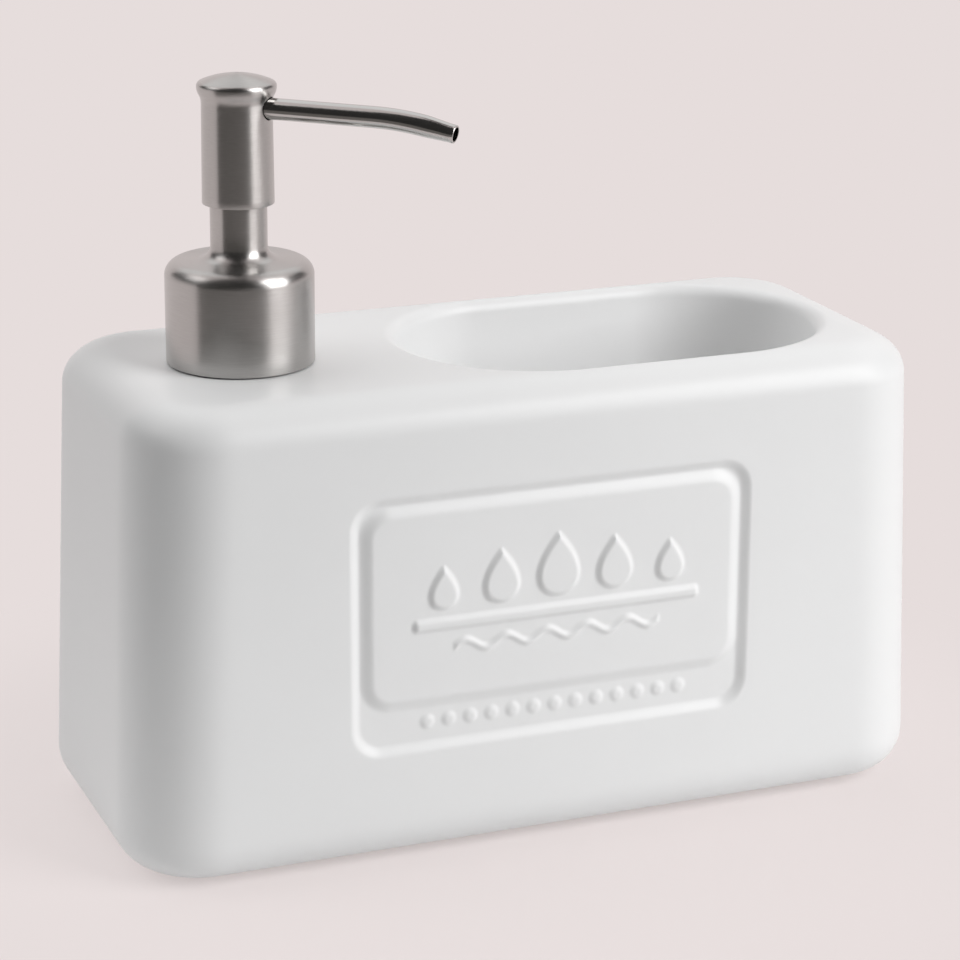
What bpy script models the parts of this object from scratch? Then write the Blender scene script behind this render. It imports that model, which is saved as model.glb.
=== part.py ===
"""Ceramic soap dispenser with a sponge well and a brushed steel lotion pump.

Units are metres, Z is up. The origin is on the counter below the middle of the
ceramic body, +X runs from the pump towards the sponge well and -Y is the front,
where the moulded label is. The sizes come first, piece by piece, and every seat,
bore and clearance is worked out from them.
"""

import math

import bmesh
import bpy
from mathutils import Matrix, Vector

mm = 0.001

# Fits shared by all pieces
fit_gap = 0.3 * mm
cut_overrun = 2.0 * mm
weld_distance = 0.005 * mm

# Ceramic body, measured at its foot, with the draft of each side at the top
body_length = 195.5 * mm
body_depth = 86.6 * mm
body_height = 107.0 * mm
side_draft = 4.3 * mm
front_draft = 1.5 * mm
corner_radius = 19.8 * mm
top_edge_radius = 10.5 * mm
foot_edge_radius = 10.5 * mm
wall = 6.0 * mm
top_wall = 7.0 * mm
floor_thickness = 6.0 * mm
foot_ring_width = 8.0 * mm
foot_recess = 3.0 * mm

# Anti-slip pads stuck in the corners of the foot recess
pad_radius = 5.0 * mm
pad_edge = 0.5 * mm
pad_stand = 0.8 * mm
pad_pocket = pad_radius + fit_gap * 2

# Sponge well, a straight slot with round ends, between the pump and the body's right end
well_setback = 36.9 * mm
well_rim = 15.45 * mm
well_radius = 29.5 * mm
well_draft = 2.0 * mm
well_lip = 3.2 * mm
well_fillet = 8.0 * mm
well_floor = 12.0 * mm
well_partition = 6.5 * mm
reservoir_inset = 14.0 * mm

# Moulded label on the front
label_width = 94.0 * mm
label_height = 57.2 * mm
label_base = 26.7 * mm
label_corner = 6.5 * mm
label_depth = 1.0 * mm
panel_margin_side = 3.5 * mm
panel_margin_top = 2.4 * mm
panel_height = 42.6 * mm
panel_corner = 4.2 * mm
relief_height = 0.8 * mm
relief_root = 0.6 * mm
rule_length = 68.2 * mm
rule_thickness = 2.3 * mm
rule_base = 54.1 * mm
drop_height = 14.0 * mm
drop_width = 9.6 * mm
drop_pitch = 13.6 * mm
drop_clearance = 2.4 * mm
drop_size_share = (0.66, 0.84, 1.0, 0.84, 0.66)
drop_swell_share = 1.3
wave_length = 49.0 * mm
wave_swing = 1.1 * mm
wave_thickness = 1.3 * mm
wave_clearance = 4.4 * mm
wave_count = 5
bead_radius = 1.35 * mm
bead_pitch = 5.1 * mm
bead_count = 13
bead_clearance = 5.6 * mm

# Pump axis, set in from the body's left end, and the hole that holds its neck
pump_inset = 38.55 * mm
neck_hole_radius = 14.0 * mm

# Drawn steel collar: shoulder, fillet and sleeve in one shell
collar_radius = 16.5 * mm
collar_height = 23.5 * mm
collar_edge_radius = 4.5 * mm
collar_fillet = 3.3 * mm
sleeve_radius = 6.3 * mm
steel_wall = 0.5 * mm

# Head of the pump
head_rest_gap = 12.2 * mm
head_overlap = 3.1 * mm
head_foot_radius = 7.85 * mm
head_flare_radius = 7.95 * mm
head_rim_radius = 8.7 * mm
head_rim_height = 24.7 * mm
head_flare_height = 3.4 * mm
head_rim_round = 3.0 * mm
head_dome = 0.7 * mm
press_stroke = 11.0 * mm

# Nozzle tube, heading measured from +X
nozzle_heading = math.radians(-43)
nozzle_radius = 2.5 * mm
nozzle_wall = 0.4 * mm
nozzle_tip_share = 0.82
nozzle_height = 21.3 * mm
nozzle_root = 3.0 * mm
nozzle_bend_start = 36.0 * mm
nozzle_bend_radius = 55.0 * mm
nozzle_bend = math.radians(10)
nozzle_tip = 5.5 * mm

# Plastic neck glued in the ceramic, with a coarse screw thread
neck_radius = 12.5 * mm
neck_bore_radius = 10.4 * mm
insert_plug_length = 9.0 * mm
insert_flange_radius = 15.2 * mm
insert_flange_thickness = 1.6 * mm
insert_seal_thickness = 0.8 * mm
gasket_thickness = 1.0 * mm
thread_lead = 4.23 * mm
thread_turns = 1.5
thread_height = 1.2 * mm
thread_root_width = 2.0 * mm
thread_crest_width = 1.2 * mm
thread_embed = 0.5 * mm
thread_top = 2.4 * mm
thread_fade_share = 0.08

# Closure cap inside the collar shell
cap_top_thickness = 1.8 * mm

# Pump housing
flange_radius = 12.4 * mm
flange_thickness = 1.4 * mm
housing_collar_radius = 8.0 * mm
cylinder_radius = 7.0 * mm
cylinder_bore = 5.7 * mm
cylinder_length = 43.0 * mm
chamber_radius = 4.6 * mm
chamber_bore = 3.1 * mm
valve_hole_radius = 1.7 * mm
valve_cone_height = 2.0 * mm
valve_web = 1.2 * mm
socket_depth = 11.0 * mm
housing_taper = 3.0 * mm

# Ball valve, spring and dip tube
ball_radius = 2.5 * mm
ball_lift = 1.5 * mm
cage_thickness = 2.0 * mm
cage_bore = 3.6 * mm
cage_bar = 1.6 * mm
spring_wire = 0.9 * mm
spring_radius = 3.9 * mm
spring_curls = 9
spring_points = 10
spring_end_share = 0.12
spring_end_gap = 0.55 * mm
dip_tube_radius = 2.65 * mm
dip_tube_bore = 1.9 * mm
dip_tube_floor_gap = 3.0 * mm
dip_tube_cut = math.radians(35)

# Piston, stem and actuator
stem_radius = 3.5 * mm
stem_bore = 2.3 * mm
running_gap = 0.35 * mm
guide_reach = 8.0 * mm
guide_flange_radius = 6.5 * mm
guide_flange_thickness = 0.8 * mm
guide_chimney = 5.6 * mm
seal_height = 5.0 * mm
seal_waist = 0.6 * mm
seal_lip_height = 1.5 * mm
rod_flange_radius = 4.9 * mm
rod_flange_thickness = 1.6 * mm
rod_pin_length = 12.0 * mm
rod_fin_thickness = 1.2 * mm
core_boss_wall = 1.5 * mm
core_press_clearance = 0.6 * mm
core_top_clearance = 0.8 * mm
core_channel = 1.6 * mm
core_web = 0.5 * mm

# Places and heights that follow from the sizes above
pump_x = pump_inset - body_length / 2
well_near_end = pump_x + well_setback
well_far_end = body_length / 2 - well_rim
well_x = (well_near_end + well_far_end) / 2
well_half_straight = (well_far_end - well_near_end) / 2 - well_radius
body_base = pad_stand
deck = body_base + body_height
floor_top = body_base + foot_recess + floor_thickness

# Heights over the deck, along the pump axis
seal_base = fit_gap
insert_flange_base = seal_base + insert_seal_thickness + fit_gap
insert_flange_top = insert_flange_base + insert_flange_thickness
shoulder_inside = collar_height - steel_wall
cap_top = shoulder_inside - fit_gap
cap_under = cap_top - cap_top_thickness
flange_top = cap_under - fit_gap
flange_base = flange_top - flange_thickness
gasket_base = flange_base - fit_gap - gasket_thickness
neck_rim = gasket_base - fit_gap
cap_base = insert_flange_top + fit_gap * 2
housing_collar_top = cap_top
guide_flange_base = housing_collar_top + fit_gap
guide_foot = guide_flange_base - guide_reach
guide_top = guide_flange_base + guide_flange_thickness + guide_chimney
seal_top = guide_foot - fit_gap
seal_foot = seal_top - seal_height
rod_flange_top = seal_foot - fit_gap
rod_flange_base = rod_flange_top - rod_flange_thickness
cylinder_floor = flange_base - cylinder_length
cage_base = cylinder_floor + fit_gap
cage_top = cage_base + cage_thickness
spring_base = cage_top + fit_gap
spring_top = rod_flange_base - fit_gap
head_rim = collar_height + head_rest_gap
sleeve_top = head_rim + head_overlap
head_rim_centre = head_rim + head_rim_height
head_top = head_rim_centre + head_rim_round + head_dome
nozzle_axis = head_rim + nozzle_height
core_boss_foot = guide_top + press_stroke + core_press_clearance
core_foot = sleeve_top + press_stroke + core_press_clearance
nozzle_bore = nozzle_radius + fit_gap
stem_socket_top = nozzle_axis - nozzle_bore - core_web
stem_top = stem_socket_top - fit_gap
stem_foot = seal_foot

# The ball rests in a cone that leads down to the inlet hole
valve_angle = math.atan2(chamber_bore - valve_hole_radius, valve_cone_height)
ball_centre = cage_base - fit_gap - ball_lift - ball_radius
ball_seat_drop = ball_radius + fit_gap - valve_hole_radius * math.cos(valve_angle)
valve_bottom = ball_centre - ball_seat_drop / math.sin(valve_angle)
valve_top = valve_bottom + valve_cone_height
socket_top = valve_bottom - valve_web
socket_foot = socket_top - socket_depth
dip_tube_top = socket_top - fit_gap
dip_tube_foot = floor_top + dip_tube_floor_gap - deck

# Facets of the round pieces
turn_steps = 40
fine_steps = 28
small_steps = 20
arc_steps = 5
edge_steps = 5
corner_steps = 8
thread_steps = 32


def clear_scene():
    """Remove whatever the opened file holds, and start from nothing."""
    for old in list(bpy.data.objects):
        bpy.data.objects.remove(old, do_unlink=True)


def collection(name):
    """Make a collection and link it to the scene."""
    group = bpy.data.collections.new(name)
    bpy.context.scene.collection.children.link(group)
    return group


clear_scene()
parts = collection("soap_dispenser")
cutters = collection("cutters")


def material(name, colour, roughness, metallic=0.0):
    """A plain Principled material in the colour of one kind of stuff."""
    made = bpy.data.materials.new(name)
    made.use_nodes = True
    shader = made.node_tree.nodes["Principled BSDF"]
    shader.inputs["Base Color"].default_value = (*colour, 1.0)
    shader.inputs["Roughness"].default_value = roughness
    shader.inputs["Metallic"].default_value = metallic
    return made


ceramic = material("glazed_ceramic", (0.86, 0.86, 0.86), 0.28)
steel = material("brushed_steel", (0.52, 0.50, 0.48), 0.32, 1.0)
polished = material("polished_steel", (0.58, 0.57, 0.56), 0.16, 1.0)
wire = material("spring_steel", (0.55, 0.55, 0.56), 0.25, 1.0)
white_plastic = material("white_polypropylene", (0.80, 0.80, 0.79), 0.42)
clear_plastic = material("natural_polyethylene", (0.74, 0.75, 0.75), 0.35)
rubber = material("clear_silicone", (0.62, 0.63, 0.64), 0.55)


def add_object(name, mesh, finish, place, group=None):
    """Link a mesh as an object of its own under the empty that carries it."""
    obj = bpy.data.objects.new(name, mesh)
    (group or parts).objects.link(obj)
    if finish:
        mesh.materials.append(finish)
    else:
        obj.hide_render = True
        obj.display_type = "WIRE"
    obj.parent = place
    return obj


def empty_at(name, location, turn=0.0, carrier=None):
    """An empty that carries pieces, such as the one on the pump axis."""
    marker = bpy.data.objects.new(name, None)
    parts.objects.link(marker)
    marker.location = location
    marker.rotation_euler = (0, 0, turn)
    marker.parent = carrier
    return marker


body_place = empty_at("body_place", (0, 0, body_base))
pump_place = empty_at("pump_place", (pump_x, 0, deck))
nozzle_place = empty_at("nozzle_place", (0, 0, nozzle_axis), nozzle_heading, pump_place)


def finish_mesh(bm, name, smooth_angle=math.radians(35)):
    """Turn a bmesh to a mesh with outward faces and smooth round sides."""
    bmesh.ops.recalc_face_normals(bm, faces=bm.faces)
    mesh = bpy.data.meshes.new(name)
    bm.to_mesh(mesh)
    bm.free()
    mesh.shade_smooth()
    mesh.set_sharp_from_angle(angle=smooth_angle)
    return mesh


def boolean(obj, tool, operation):
    """Cut or join with another mesh, which stays out of the model."""
    step = obj.modifiers.new(tool.name, "BOOLEAN")
    step.operation = operation
    step.solver = "EXACT"
    step.object = tool


def arc(centre_r, centre_z, radius, start, end, steps=arc_steps):
    """Points of an arc in a turned profile, angles in degrees from +r."""
    points = []
    for index in range(steps + 1):
        angle = math.radians(start + (end - start) * index / steps)
        points.append((centre_r + radius * math.cos(angle), centre_z + radius * math.sin(angle)))
    return points


def turned(name, profile, finish, place, steps=turn_steps, closed=True, group=None):
    """Turn a profile of (radius, height) points round Z, outer side first and downwards."""
    mesh = bpy.data.meshes.new(name)
    count = len(profile)
    edges = [(index, (index + 1) % count) for index in range(count if closed else count - 1)]
    mesh.from_pydata([(r, 0, z) for r, z in profile], edges, [])
    obj = add_object(name, mesh, finish, place, group)
    screw = obj.modifiers.new("turn", "SCREW")
    screw.axis = "Z"
    screw.angle = math.tau
    screw.steps = steps
    screw.render_steps = steps
    screw.use_merge_vertices = True
    screw.merge_threshold = weld_distance
    screw.use_smooth_shade = True
    return obj


def tube_profile(outer, inner, foot, top):
    """Closed profile of a plain ring or tube."""
    return [(outer, top), (outer, foot), (inner, foot), (inner, top)]


def thicken(obj, thickness):
    """Give an open sheet its wall on the inner side."""
    shell = obj.modifiers.new("wall", "SOLIDIFY")
    shell.thickness = thickness
    shell.offset = -1.0
    shell.use_even_offset = True


def cylinder(name, radius, foot, top, finish, place, steps=fine_steps, group=None):
    """An upright cylinder from one height to another."""
    bm = bmesh.new()
    middle = Matrix.Translation((0, 0, (foot + top) / 2))
    bmesh.ops.create_cone(
        bm, cap_ends=True, segments=steps, radius1=radius, radius2=radius,
        depth=top - foot, matrix=middle,
    )
    return add_object(name, finish_mesh(bm, name), finish, place, group)


def box(name, low, high, finish, place, group=None):
    """A box between two corners."""
    bm = bmesh.new()
    low = Vector(low)
    high = Vector(high)
    size = Matrix.Diagonal((*(high - low), 1.0))
    bmesh.ops.create_cube(bm, size=1.0, matrix=Matrix.Translation((low + high) / 2) @ size)
    return add_object(name, finish_mesh(bm, name), finish, place, group)


def bevel_loop(bm, height, radius, steps):
    """Round the edges that lie at one height."""
    level = [
        edge for edge in bm.edges
        if all(abs(vert.co.z - height) < weld_distance for vert in edge.verts)
    ]
    bmesh.ops.bevel(
        bm, geom=level, offset=radius, offset_type="OFFSET", segments=steps,
        profile=0.5, affect="EDGES", clamp_overlap=False,
    )


def rounded_block(name, inset, foot, top, corner, top_edge, foot_edge, finish, group=None):
    """The body's outline, or a block inset inside it, between two heights over its base."""
    bm = bmesh.new()
    size = Vector((body_length - inset * 2, body_depth - inset * 2, top - foot))
    middle = Vector((0, 0, (top + foot) / 2))
    bmesh.ops.create_cube(bm, size=1.0, matrix=Matrix.Translation(middle) @ Matrix.Diagonal((*size, 1.0)))
    upright = [
        edge for edge in bm.edges
        if abs(edge.verts[0].co.z - edge.verts[1].co.z) > size.z / 2
    ]
    bmesh.ops.bevel(
        bm, geom=upright, offset=corner, offset_type="OFFSET", segments=corner_steps,
        profile=0.5, affect="EDGES", clamp_overlap=False,
    )
    if top_edge:
        bevel_loop(bm, top, top_edge, edge_steps)
    if foot_edge:
        bevel_loop(bm, foot, foot_edge, edge_steps)
    for vert in bm.verts:
        lean = vert.co.z / body_height
        vert.co.x -= math.copysign(side_draft * lean, vert.co.x)
        vert.co.y -= math.copysign(front_draft * lean, vert.co.y)
    return add_object(name, finish_mesh(bm, name), finish, body_place, group)


def stadium(radius, height, count=fine_steps):
    """One ring of a slot with round ends, centred on the well."""
    points = []
    for index in range(count):
        angle = math.tau * (index + 0.5) / count
        side = math.copysign(well_half_straight, math.cos(angle))
        points.append((well_x + side + radius * math.cos(angle), radius * math.sin(angle), height))
    return points


def loft(name, rings, finish, place, group=None):
    """Skin rings of equal count into one closed body, with flat ends."""
    bm = bmesh.new()
    rows = [[bm.verts.new(point) for point in ring] for ring in rings]
    count = len(rows[0])
    for lower, upper in zip(rows, rows[1:]):
        for index in range(count):
            after = (index + 1) % count
            bm.faces.new((lower[index], lower[after], upper[after], upper[index]))
    bm.faces.new(rows[0][::-1])
    bm.faces.new(rows[-1])
    return add_object(name, finish_mesh(bm, name), finish, place, group)


def helix_ridge(name, base_radius, reach, centre_foot, place):
    """A screw thread's ridge on one wall, fading in and out at its ends."""
    bury = -math.copysign(thread_embed, reach)
    turns = thread_turns
    steps = round(thread_steps * turns)
    rings = []
    for index in range(steps + 1):
        share = index / steps
        fade = min(share, 1 - share, thread_fade_share) / thread_fade_share
        crest = base_radius + bury / 2 + (reach - bury / 2) * fade
        centre = centre_foot + thread_lead * turns * share
        angle = math.tau * turns * share
        root_half = thread_root_width / 2
        crest_half = thread_crest_width / 2
        section = (
            (base_radius + bury, centre - root_half),
            (crest, centre - crest_half),
            (crest, centre + crest_half),
            (base_radius + bury, centre + root_half),
        )
        rings.append([(r * math.cos(angle), r * math.sin(angle), z) for r, z in section])
    return loft(name, rings, None, place, cutters)


def curve_mesh(name, points, radius, radii, resolution, caps, finish, place, group=None):
    """A round tube along a line of points, made a mesh with welded caps."""
    curve = bpy.data.curves.new(name, "CURVE")
    curve.dimensions = "3D"
    curve.bevel_depth = radius
    curve.bevel_resolution = resolution
    curve.use_fill_caps = caps
    spline = curve.splines.new("POLY")
    spline.points.add(len(points) - 1)
    for point, place_on_line, share in zip(spline.points, points, radii):
        point.co = (*place_on_line, 1.0)
        point.radius = share
    draft = bpy.data.objects.new(name, curve)
    cutters.objects.link(draft)
    bpy.context.view_layer.update()
    seen = draft.evaluated_get(bpy.context.evaluated_depsgraph_get())
    mesh = bpy.data.meshes.new_from_object(seen)
    bpy.data.objects.remove(draft, do_unlink=True)
    bm = bmesh.new()
    bm.from_mesh(mesh)
    bmesh.ops.remove_doubles(bm, verts=bm.verts, dist=weld_distance)
    return add_object(name, finish_mesh(bm, name), finish, place, group)


def plate(name, outlines, foot, top):
    """Flat outlines on the front face, raised from one depth to another over it."""
    curve = bpy.data.curves.new(name, "CURVE")
    curve.dimensions = "2D"
    curve.fill_mode = "BOTH"
    curve.extrude = (top - foot) / 2
    for outline in outlines:
        spline = curve.splines.new("POLY")
        spline.points.add(len(outline) - 1)
        spline.use_cyclic_u = True
        for point, (x, y) in zip(spline.points, outline):
            point.co = (x, y, 0, 1.0)
    draft = bpy.data.objects.new(name, curve)
    cutters.objects.link(draft)
    bpy.context.view_layer.update()
    seen = draft.evaluated_get(bpy.context.evaluated_depsgraph_get())
    mesh = bpy.data.meshes.new_from_object(seen)
    bpy.data.objects.remove(draft, do_unlink=True)
    bm = bmesh.new()
    bm.from_mesh(mesh)
    bmesh.ops.translate(bm, verts=bm.verts, vec=(0, 0, (top + foot) / 2))
    bmesh.ops.remove_doubles(bm, verts=bm.verts, dist=weld_distance)
    tool = add_object(name, finish_mesh(bm, name), None, body_place, cutters)
    tool.location = (0, -body_depth / 2, 0)
    tool.rotation_euler = (math.pi / 2 - math.atan2(front_draft, body_height), 0, 0)
    return tool


def rounded_outline(width, foot, top, corner, steps=arc_steps):
    """A rectangle with round corners, standing between two heights on the face."""
    points = []
    half = width / 2 - corner
    corners = ((half, top - corner), (-half, top - corner), (-half, foot + corner), (half, foot + corner))
    for quarter, (x, y) in enumerate(corners):
        points += arc(x, y, corner, quarter * 90, quarter * 90 + 90, steps)
    return points


def drop_outline(x, foot, height, steps=16):
    """A water drop: round below, drawn to a point above."""
    points = []
    for index in range(steps):
        angle = math.tau * index / steps
        swell = math.sin(angle) * math.sin(angle / 2)
        wide = drop_width * height / drop_height / 2
        points.append((x - wide * swell * drop_swell_share, foot + height * (1 + math.cos(angle)) / 2))
    return points


def wave_outline(centre, steps_per_wave=8):
    """A ribbon that follows a sine line."""
    steps = steps_per_wave * wave_count
    upper = []
    lower = []
    for index in range(steps + 1):
        share = index / steps
        x = wave_length * (share - 0.5)
        y = centre + wave_swing * math.sin(math.tau * wave_count * share)
        upper.append((x, y + wave_thickness / 2))
        lower.append((x, y - wave_thickness / 2))
    return lower + upper[::-1]


def circle_outline(x, y, radius, steps=10):
    """A small round bead."""
    return arc(x, y, radius, 0, 360 - 360 / steps, steps - 1)


def least_gap(points, radius, skip):
    """The smallest clear distance between two curls of one wire."""
    nearest = min(
        (Vector(first) - Vector(second)).length
        for index, first in enumerate(points)
        for second in points[index + skip:]
    )
    return nearest - radius * 2


# Ceramic body, cast in one piece: shell, reservoir, sponge well and label
body = rounded_block(
    "ceramic_body", 0.0, 0.0, body_height, corner_radius, top_edge_radius, foot_edge_radius, ceramic,
)

recess_inset = foot_edge_radius + foot_ring_width
recess = rounded_block(
    "foot_recess", recess_inset, -cut_overrun, foot_recess, pad_pocket, 0.0, 0.0, None, cutters,
)
boolean(body, recess, "DIFFERENCE")

well_rings = [stadium(well_radius + well_lip, body_height + cut_overrun)]
for r, z in arc(well_radius + well_lip, body_height - well_lip, well_lip, 90, 180):
    well_rings.append(stadium(r, z))
floor_radius = well_radius - well_draft
for r, z in arc(floor_radius - well_fillet, well_floor + well_fillet, well_fillet, 0, -90):
    well_rings.append(stadium(r, z))
well = loft("sponge_well", well_rings, None, body_place, cutters)
boolean(body, well, "DIFFERENCE")

reservoir = rounded_block(
    "reservoir", wall, foot_recess + floor_thickness, body_height - top_wall,
    corner_radius - wall, top_edge_radius - wall, foot_edge_radius - wall, None, cutters,
)
partition_radius = well_radius + well_partition
partition = loft(
    "partition",
    [stadium(partition_radius, 0.0), stadium(partition_radius, body_height)],
    None, body_place, cutters,
)
boolean(reservoir, partition, "DIFFERENCE")
well_end_x = well_x - well_half_straight
beyond = box(
    "beyond_reservoir",
    (well_end_x - reservoir_inset, -body_depth, -cut_overrun),
    (body_length, body_depth, body_height + cut_overrun),
    None, body_place, cutters,
)
boolean(reservoir, beyond, "DIFFERENCE")
boolean(body, reservoir, "DIFFERENCE")

neck_hole = cylinder(
    "neck_hole", neck_hole_radius, -top_wall - cut_overrun, cut_overrun, None, pump_place,
    turn_steps, cutters,
)
boolean(body, neck_hole, "DIFFERENCE")

label_top = label_base + label_height
panel_top = label_top - panel_margin_top
panel_foot = panel_top - panel_height
panel_width = label_width - panel_margin_side * 2
groove = plate(
    "label_groove",
    [
        rounded_outline(label_width, label_base, label_top, label_corner),
        rounded_outline(panel_width, panel_foot, panel_top, panel_corner),
    ],
    -label_depth, cut_overrun,
)
boolean(body, groove, "DIFFERENCE")

rule_top = rule_base + rule_thickness
raised = [rounded_outline(rule_length, rule_base, rule_top, rule_thickness / 3, 2)]
drop_foot = rule_top + drop_clearance
for index, share in enumerate(drop_size_share):
    drop_x = (index - (len(drop_size_share) - 1) / 2) * drop_pitch
    raised.append(drop_outline(drop_x, drop_foot, drop_height * share))
raised.append(wave_outline(rule_base - wave_clearance))
boolean(body, plate("panel_relief", raised, -relief_root, relief_height), "UNION")

bead_row = [
    circle_outline((index - (bead_count - 1) / 2) * bead_pitch, label_base + bead_clearance, bead_radius)
    for index in range(bead_count)
]
beads = plate("band_relief", bead_row, -label_depth - relief_root, relief_height - label_depth)
boolean(body, beads, "UNION")

# Four soft pads in the corners of the foot recess
pad_reach_x = body_length / 2 - recess_inset - pad_pocket
pad_reach_y = body_depth / 2 - recess_inset - pad_pocket
pad_top = foot_recess - fit_gap
pad_number = 0
for side_x in (-1, 1):
    for side_y in (-1, 1):
        pad_number += 1
        pad = cylinder(
            f"foot_pad_{pad_number}", pad_radius, -pad_stand, pad_top, rubber, body_place, small_steps,
        )
        pad.location = (side_x * pad_reach_x, side_y * pad_reach_y, 0)
        pad_round = pad.modifiers.new("edge", "BEVEL")
        pad_round.width = pad_edge
        pad_round.segments = 1
        pad_round.limit_method = "ANGLE"

# Threaded neck, glued in the ceramic on a soft ring
plug_radius = neck_hole_radius - fit_gap
neck_insert = turned(
    "neck_insert",
    [
        (neck_radius, neck_rim),
        (neck_radius, insert_flange_top),
        (insert_flange_radius, insert_flange_top),
        (insert_flange_radius, insert_flange_base),
        (plug_radius, insert_flange_base),
        (plug_radius, -insert_plug_length),
        (neck_bore_radius, -insert_plug_length),
        (neck_bore_radius, neck_rim),
    ],
    white_plastic, pump_place,
)
thread_rise = thread_lead * thread_turns
thread_foot = neck_rim - thread_top - thread_rise
neck_thread = helix_ridge("neck_thread", neck_radius, thread_height, thread_foot, pump_place)
boolean(neck_insert, neck_thread, "UNION")

insert_seal = turned(
    "insert_seal",
    tube_profile(insert_flange_radius, neck_hole_radius, seal_base, seal_base + insert_seal_thickness),
    rubber, pump_place, fine_steps,
)

neck_gasket = turned(
    "neck_gasket",
    tube_profile(neck_radius, neck_bore_radius, gasket_base, gasket_base + gasket_thickness),
    rubber, pump_place, fine_steps,
)

# Closure cap: plastic nut inside the steel collar
cap_radius = collar_radius - steel_wall - fit_gap
cap_edge = collar_edge_radius - steel_wall
cap_bore = neck_radius + thread_height + fit_gap
cap_hole = housing_collar_radius + fit_gap
closure_cap = turned(
    "closure_cap",
    [(cap_hole, cap_top)]
    + arc(cap_radius - cap_edge, cap_top - cap_edge, cap_edge, 90, 0)
    + [
        (cap_radius, cap_base),
        (cap_bore, cap_base),
        (cap_bore, cap_under),
        (cap_hole, cap_under),
    ],
    white_plastic, pump_place,
)
thread_pair_offset = (thread_root_width + thread_crest_width) / 2 + fit_gap
cap_thread = helix_ridge(
    "cap_thread", cap_bore, -thread_height + fit_gap / 2, thread_foot - thread_pair_offset, pump_place,
)
boolean(closure_cap, cap_thread, "UNION")

# Collar shell: sleeve, fillet, shoulder and skirt drawn from one sheet
collar_shell = turned(
    "collar_shell",
    [(sleeve_radius, sleeve_top)]
    + arc(sleeve_radius + collar_fillet, collar_height + collar_fillet, collar_fillet, 180, 270)
    + arc(collar_radius - collar_edge_radius, collar_height - collar_edge_radius, collar_edge_radius, 90, 0)
    + [(collar_radius, fit_gap)],
    steel, pump_place, turn_steps, False,
)
thicken(collar_shell, steel_wall)

# Pump housing: flange, cylinder, ball chamber and dip tube socket
socket_bore = dip_tube_radius + fit_gap
socket_radius = chamber_radius
pump_housing = turned(
    "pump_housing",
    [
        (housing_collar_radius, housing_collar_top),
        (housing_collar_radius, flange_top),
        (flange_radius, flange_top),
        (flange_radius, flange_base),
        (cylinder_radius, flange_base),
        (cylinder_radius, cylinder_floor),
        (chamber_radius, cylinder_floor - housing_taper),
        (socket_radius, socket_foot),
        (socket_bore, socket_foot),
        (socket_bore, socket_top),
        (valve_hole_radius, socket_top),
        (valve_hole_radius, valve_bottom),
        (chamber_bore, valve_top),
        (chamber_bore, cylinder_floor),
        (cylinder_bore, cylinder_floor),
        (cylinder_bore, housing_collar_top),
    ],
    white_plastic, pump_place, fine_steps,
)

dip_tube = turned(
    "dip_tube",
    tube_profile(dip_tube_radius, dip_tube_bore, dip_tube_foot, dip_tube_top),
    clear_plastic, pump_place, fine_steps,
)
tube_cut = box(
    "dip_tube_cut",
    (-dip_tube_radius * 4, -dip_tube_radius * 4, -dip_tube_radius * 4),
    (dip_tube_radius * 4, dip_tube_radius * 4, 0),
    None, pump_place, cutters,
)
tube_cut.location = (0, 0, dip_tube_foot + dip_tube_radius * math.tan(dip_tube_cut))
tube_cut.rotation_euler = (0, dip_tube_cut, 0)
boolean(dip_tube, tube_cut, "DIFFERENCE")

# Ball valve under a cage that also seats the spring
ball_cage = turned(
    "ball_cage",
    tube_profile(cylinder_bore - fit_gap, cage_bore, cage_base, cage_top),
    white_plastic, pump_place, fine_steps,
)
cage_reach = (cylinder_bore - fit_gap + cage_bore) / 2
cage_cross = box(
    "cage_bar",
    (-cage_reach, -cage_bar / 2, cage_base),
    (cage_reach, cage_bar / 2, cage_top - fit_gap),
    None, pump_place, cutters,
)
boolean(ball_cage, cage_cross, "UNION")

ball_mesh = bmesh.new()
bmesh.ops.create_uvsphere(ball_mesh, u_segments=16, v_segments=10, radius=ball_radius)
check_ball = add_object("check_ball", finish_mesh(ball_mesh, "check_ball"), wire, pump_place)
check_ball.location = (0, 0, ball_centre)


def spring_line():
    """Centre line of the spring, with closer curls at both ends."""
    wire_radius = spring_wire / 2
    foot = spring_base + wire_radius
    rise = spring_top - spring_base - spring_wire
    end_pitch = spring_wire + spring_end_gap
    end_rise = end_pitch * spring_curls * spring_end_share
    middle_share = 1 - spring_end_share * 2
    steps = spring_curls * spring_points
    line = []
    for index in range(steps + 1):
        share = index / steps
        low = min(share, spring_end_share) / spring_end_share
        high = max(share - 1 + spring_end_share, 0.0) / spring_end_share
        middle = min(max(share - spring_end_share, 0.0), middle_share) / middle_share
        height = foot + end_rise * (low + high) + (rise - end_rise * 2) * middle
        angle = math.tau * share * spring_curls
        line.append((spring_radius * math.cos(angle), spring_radius * math.sin(angle), height))
    return line


spring_curve = spring_line()
return_spring = curve_mesh(
    "return_spring", spring_curve, spring_wire / 2, [1.0] * len(spring_curve), 1, True, wire, pump_place,
)
spring_gap = least_gap(spring_curve, spring_wire / 2, spring_points // 2)
print(f"return_spring least gap between curls {spring_gap / mm:.2f} mm")

# Stem guide that closes the cylinder and stops the piston
guide_bore = stem_radius + running_gap
guide_radius = cylinder_bore - fit_gap
guide_flange_top = guide_flange_base + guide_flange_thickness
stem_guide = turned(
    "stem_guide",
    [
        (guide_radius, guide_top),
        (guide_radius, guide_flange_top),
        (guide_flange_radius, guide_flange_top),
        (guide_flange_radius, guide_flange_base),
        (guide_radius, guide_flange_base),
        (guide_radius, guide_foot),
        (guide_bore, guide_foot),
        (guide_bore, guide_top),
    ],
    white_plastic, pump_place, fine_steps,
)

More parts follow.
